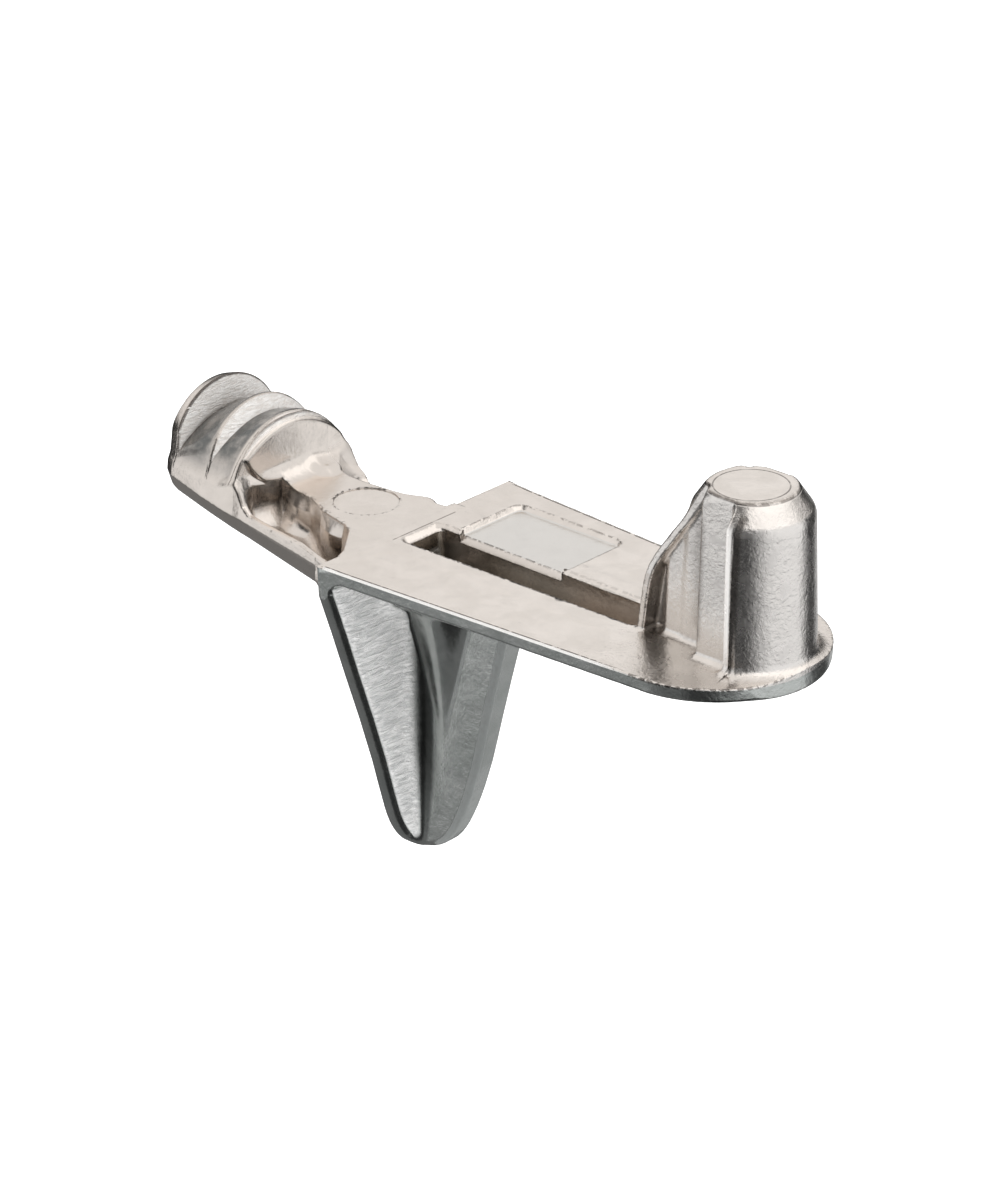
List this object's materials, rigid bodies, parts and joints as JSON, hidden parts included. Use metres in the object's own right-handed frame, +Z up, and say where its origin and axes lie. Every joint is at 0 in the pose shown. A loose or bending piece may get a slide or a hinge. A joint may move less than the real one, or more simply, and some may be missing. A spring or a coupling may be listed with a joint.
{
  "type": "shelf support pin",
  "caption": "One-piece metal shelf support with a barbed plug for a system hole, a plate for the shelf, a stud that locates it and a V-shaped plate that bears on the panel.",
  "frame": {"origin": "on the shelf seat, where its plane meets the panel face plane and the centreline", "axes": "+X straight out of the panel along the shelf plate, +Z up out of the shelf seat, +Y across the plate"},
  "size_m": [0.0224, 0.008, 0.0154],
  "materials": {
    "nickel": "zinc die casting, bright nickel plating over a fine as-cast grain"
  },
  "bodies": {
    "root": {"shelf_support": "nickel"}
  },
  "joints": []
}
